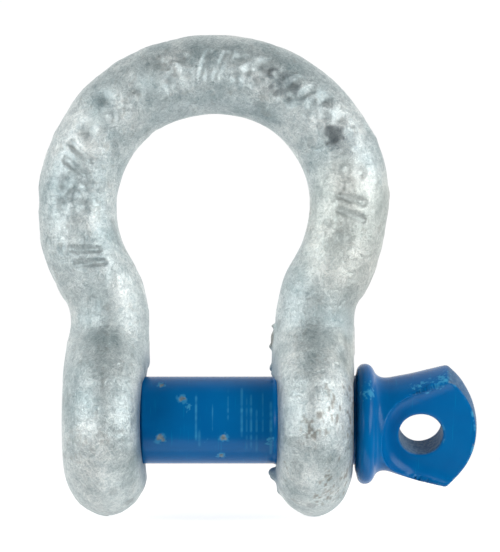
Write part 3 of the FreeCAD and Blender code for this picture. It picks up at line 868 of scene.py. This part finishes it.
def paint():
    """Glossy blue paint, scratched and rubbed lighter, thin at the eye, and chipped to grey metal."""
    material, nodes, links, shader = new_material("blue_enamel")
    cloud = add_noise(nodes, links, 7.0, 3.0, 0.5).outputs["Fac"]
    colour = add_ramp(nodes, links, cloud, [(0.3, (0.0, 0.115, 0.345)), (0.7, (0.0, 0.14, 0.395))])
    fine = add_noise(nodes, links, 0.6, 3.0, 0.6).outputs["Fac"]
    streaks = add_noise(nodes, links, 1.0, 2.0, 0.5, (4.0, 0.16, 0.16)).outputs["Fac"]
    lines = add_ramp(nodes, links, streaks, [(0.66, grey(0)), (0.72, grey(0.35))])
    colour = add_mix(nodes, links, lines, colour, (0.0, 0.24, 0.5, 1))
    light, bare, thin = (add_value(nodes, name) for name in ("light", "bare", "thin"))
    colour = add_mix(nodes, links, light, colour, (0.05, 0.33, 0.56, 1))
    metal = add_ramp(nodes, links, fine, [(0.35, (0.12, 0.17, 0.2)), (0.65, (0.27, 0.31, 0.32))])
    worn = add_ramp(nodes, links, fine, [(0.4, (0.05, 0.11, 0.18)), (0.62, (0.13, 0.2, 0.26))])
    colour = add_mix(nodes, links, add_math(nodes, links, "MULTIPLY", thin, 0.8), colour, worn)
    colour = add_mix(nodes, links, bare, colour, metal)
    links.new(colour, shader.inputs["Base Color"])
    scuffed = add_math(nodes, links, "MAXIMUM", add_math(nodes, links, "MAXIMUM", light, bare), thin)
    rough = add_math(nodes, links, "MULTIPLY_ADD", scuffed, 0.3)
    rough.node.inputs[2].default_value = 0.24
    links.new(rough, shader.inputs["Roughness"])
    shader.inputs["Specular IOR Level"].default_value = 0.13
    orange = add_noise(nodes, links, 1.6, 2.0, 0.5).outputs["Fac"]
    add_bump(nodes, links, shader, [(orange, 0.12, 0.1)])
    return material


# --- floor, light and camera ---

# lengths in metres and powers in watts from here on
WHITE = 1.02
FRONT_LIGHT = 0.07
SIDE_LIGHT = 0.85
BACK_LIGHT = 1.0
FLOOR_GAP = 0.0003
FLOOR_HALF = 4.0
# the distances between which the floor fades to plain white
FLOOR_FADE = (0.04, 0.22)
# name, place, width and height, power
SOFTBOXES = [
    ("left_box", (-0.55, -0.36, 0.14), (0.35, 0.7), 4.0),
    ("right_box", (0.56, -0.38, 0.14), (0.35, 0.7), 4.5),
    ("table_bounce", (0.05, -0.14, -0.5), (0.7, 0.3), 1.3),
]
CAMERA_PLACE = (0.0069, -0.6, 0.0265)
SEEN_WIDTH = 0.092
SENSOR_WIDTH_MM = 36.0


def add_floor(height):
    """A white sheet that brightens away from the shackle until it can't be told from the white around it."""
    mesh = bpy.data.meshes.new("floor")
    far = FLOOR_HALF
    mesh.from_pydata([(-far, -far, 0), (far, -far, 0), (far, far, 0), (-far, far, 0)], [], [(0, 1, 2, 3)])
    floor = bpy.data.objects.new("floor", mesh)
    floor.location = (0, 0, height)
    bpy.context.scene.collection.objects.link(floor)
    material, nodes, links, shader = new_material("white_sheet")
    shader.inputs["Base Color"].default_value = grey(0.6)
    shader.inputs["Roughness"].default_value = 0.9
    shader.inputs["Emission Color"].default_value = grey(1)
    shader.inputs["Emission Strength"].default_value = 0.7
    glow = nodes.new("ShaderNodeEmission")
    glow.inputs["Color"].default_value = grey(1)
    glow.inputs["Strength"].default_value = WHITE
    place = nodes.new("ShaderNodeTexCoord")
    away = nodes.new("ShaderNodeVectorMath")
    away.operation = "LENGTH"
    links.new(place.outputs["Object"], away.inputs[0])
    fade = nodes.new("ShaderNodeMapRange")
    fade.interpolation_type = "SMOOTHSTEP"
    fade.inputs["From Min"].default_value, fade.inputs["From Max"].default_value = FLOOR_FADE
    links.new(away.outputs["Value"], fade.inputs["Value"])
    mix = nodes.new("ShaderNodeMixShader")
    links.new(fade.outputs["Result"], mix.inputs["Fac"])
    links.new(shader.outputs["BSDF"], mix.inputs[1])
    links.new(glow.outputs["Emission"], mix.inputs[2])
    # light from behind and below passes through it, as if the shackle lay on its back on white paper
    clear = nodes.new("ShaderNodeBsdfTransparent")
    path = nodes.new("ShaderNodeLightPath")
    shown = nodes.new("ShaderNodeMixShader")
    links.new(path.outputs["Is Camera Ray"], shown.inputs["Fac"])
    links.new(clear.outputs["BSDF"], shown.inputs[1])
    links.new(mix.outputs["Shader"], shown.inputs[2])
    links.new(shown.outputs["Shader"], nodes["Material Output"].inputs["Surface"])
    mesh.materials.append(material)


def add_softbox(name, place, aim, size, power):
    light = bpy.data.lights.new(name, "AREA")
    light.shape = "RECTANGLE"
    light.size, light.size_y = size
    light.energy = power
    lamp = bpy.data.objects.new(name, light)
    lamp.location = place
    lamp.rotation_euler = (Vector(aim) - Vector(place)).to_track_quat("-Z", "Z").to_euler()
    bpy.context.scene.collection.objects.link(lamp)


def light_scene(low, high):
    add_floor(low[2] - FLOOR_GAP)
    for name, place, size, power in SOFTBOXES:
        add_softbox(name, place, (low + high) / 2, size, power)
    world = bpy.data.worlds.new("white_tent")
    world.use_nodes = True
    nodes, links = world.node_tree.nodes, world.node_tree.links
    tent = nodes["Background"]
    place = nodes.new("ShaderNodeTexCoord")
    split = nodes.new("ShaderNodeSeparateXYZ")
    links.new(place.outputs["Generated"], split.inputs["Vector"])
    # the tent is open, and so darker, on the side the picture is taken from
    front, side, back = grey(FRONT_LIGHT), grey(SIDE_LIGHT), grey(BACK_LIGHT)
    stops = [(0.0, front), (0.42, front), (0.66, side), (1.0, back)]
    facing = add_math(nodes, links, "MULTIPLY_ADD", split.outputs["Y"], 0.5)
    facing.node.inputs[2].default_value = 0.5
    links.new(add_ramp(nodes, links, facing, stops), tent.inputs["Color"])
    seen = nodes.new("ShaderNodeBackground")
    seen.inputs["Color"].default_value = grey(1)
    seen.inputs["Strength"].default_value = WHITE
    path = nodes.new("ShaderNodeLightPath")
    mix = nodes.new("ShaderNodeMixShader")
    links.new(path.outputs["Is Camera Ray"], mix.inputs["Fac"])
    links.new(tent.outputs["Background"], mix.inputs[1])
    links.new(seen.outputs["Background"], mix.inputs[2])
    links.new(mix.outputs["Shader"], nodes["World Output"].inputs["Surface"])
    bpy.context.scene.world = world
    bpy.context.scene.view_settings.view_transform = "Standard"


def add_camera():
    """A long lens level with the middle of the shackle, looking straight along +Y."""
    camera = bpy.data.cameras.new("camera")
    camera.sensor_fit = "HORIZONTAL"
    camera.sensor_width = SENSOR_WIDTH_MM
    camera.lens = camera.sensor_width * -CAMERA_PLACE[1] / SEEN_WIDTH
    camera.clip_start = 0.01
    eye = bpy.data.objects.new("camera", camera)
    eye.location = CAMERA_PLACE
    eye.rotation_euler = (math.radians(90), 0, 0)
    bpy.context.scene.collection.objects.link(eye)
    bpy.context.scene.camera = eye


add_camera()
make_bow()
make_pin()
light_scene(*[Vector(corner) for corner in CAD_BOX])
